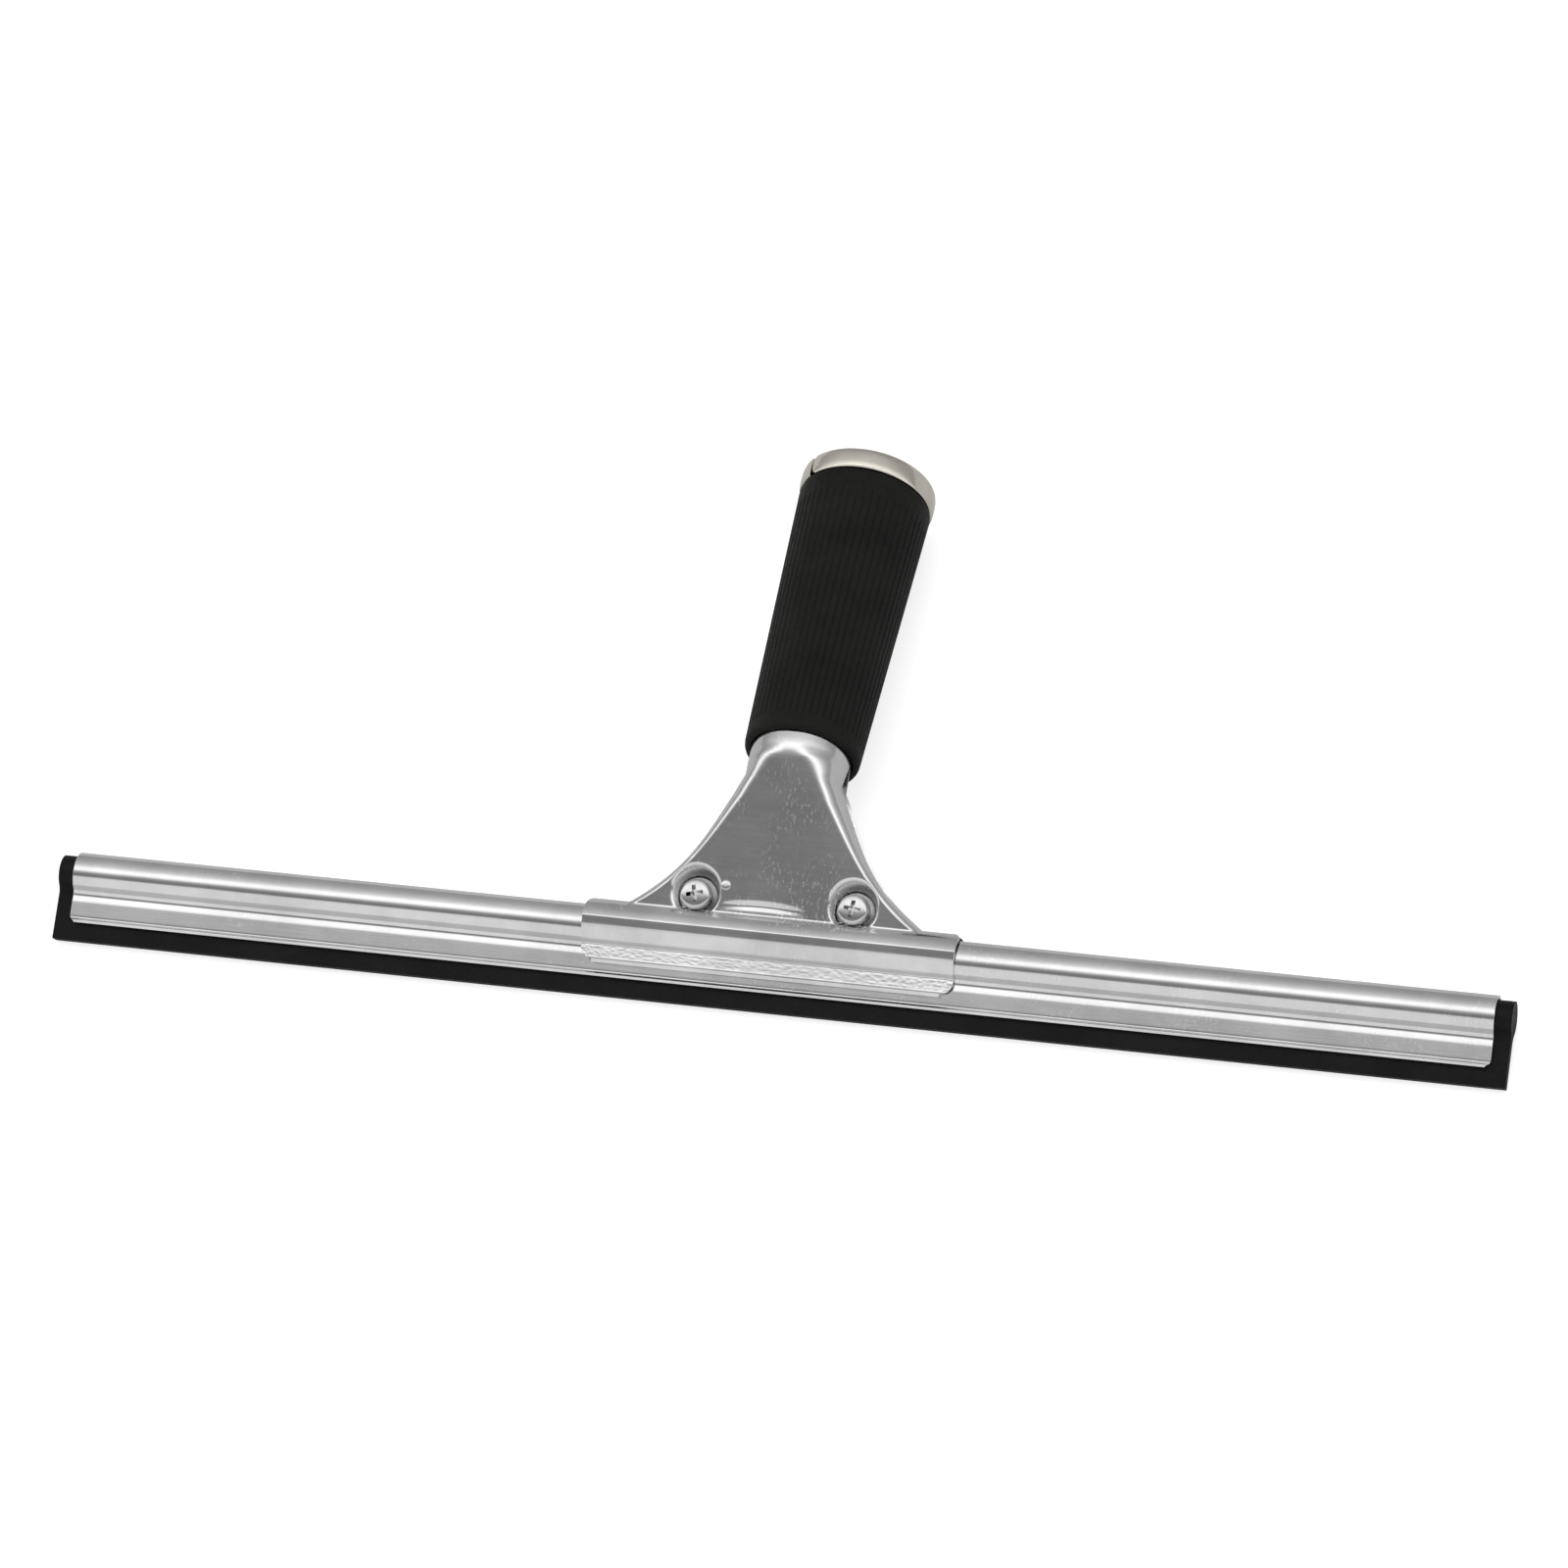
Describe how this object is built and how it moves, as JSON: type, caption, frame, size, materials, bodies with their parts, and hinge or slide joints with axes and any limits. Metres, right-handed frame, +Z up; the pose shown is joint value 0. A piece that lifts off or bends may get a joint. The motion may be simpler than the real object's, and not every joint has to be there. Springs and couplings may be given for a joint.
{
  "type": "window cleaning squeegee",
  "caption": "Hand squeegee: a stamped steel clamp handle with a ribbed rubber grip holds a rolled steel channel and its rubber wiping blade, front side up.",
  "frame": {"origin": "centre of the bounding box's bottom face: the squeegee lies on its back on the rear jaw's lip and the end ring", "axes": "+X along the channel, +Y towards the open end of the handle, +Z up, out of the front side"},
  "size_m": [0.358, 0.1414, 0.0343],
  "materials": {
    "shell_steel": "stamped stainless sheet, satin with fine scratches",
    "channel_steel": "rolled stainless sheet, brushed lengthwise",
    "ring_steel": "satin steel band with a slightly warm tint",
    "fastener_steel": "bright plated steel",
    "grip_rubber": "matte black rubber with fine lengthwise ribs",
    "blade_rubber": "smooth matte black rubber"
  },
  "bodies": {
    "handle": {"front_shell": "shell_steel", "rear_shell": "shell_steel", "grip_sleeve": "grip_rubber", "end_ring": "ring_steel", "nut_left": "fastener_steel", "nut_right": "fastener_steel", "locating_rivet": "fastener_steel"},
    "channel": {"channel": "channel_steel"},
    "blade": {"rubber_blade": "blade_rubber"},
    "left_washer": {"washer_left": "fastener_steel"},
    "left_screw": {"screw_left": "fastener_steel"},
    "right_washer": {"washer_right": "fastener_steel"},
    "right_screw": {"screw_right": "fastener_steel"}
  },
  "joints": [
    {"name": "channel_slide", "type": "slide", "parent": "handle", "child": "channel", "axis": [1, 0, 0], "range_m": [-0.129, 0.129]},
    {"name": "blade_slide", "type": "slide", "parent": "channel", "child": "blade", "axis": [1, 0, 0], "range_m": [-0.344, 0.344]},
    {"name": "left_screw_travel", "type": "slide", "parent": "handle", "child": "left_washer", "axis": [0, -0.3229, 0.9464], "range_m": [0, 0.0028]},
    {"name": "left_screw_turn", "type": "hinge", "parent": "left_washer", "child": "left_screw", "pos_m": [-0.0194, -0.04549, 0.01032], "axis": [0, -0.3229, 0.9464], "range_deg": [0, 1440]},
    {"name": "right_screw_travel", "type": "slide", "parent": "handle", "child": "right_washer", "axis": [0, -0.3229, 0.9464], "range_m": [0, 0.0028]},
    {"name": "right_screw_turn", "type": "hinge", "parent": "right_washer", "child": "right_screw", "pos_m": [0.0194, -0.04549, 0.01032], "axis": [0, -0.3229, 0.9464], "range_deg": [0, 1440]}
  ],
  "couplings": [
    {"joint": "left_screw_turn", "follows": "left_screw_travel", "rad_per_m": 8976},
    {"joint": "right_screw_turn", "follows": "right_screw_travel", "rad_per_m": 8976}
  ]
}
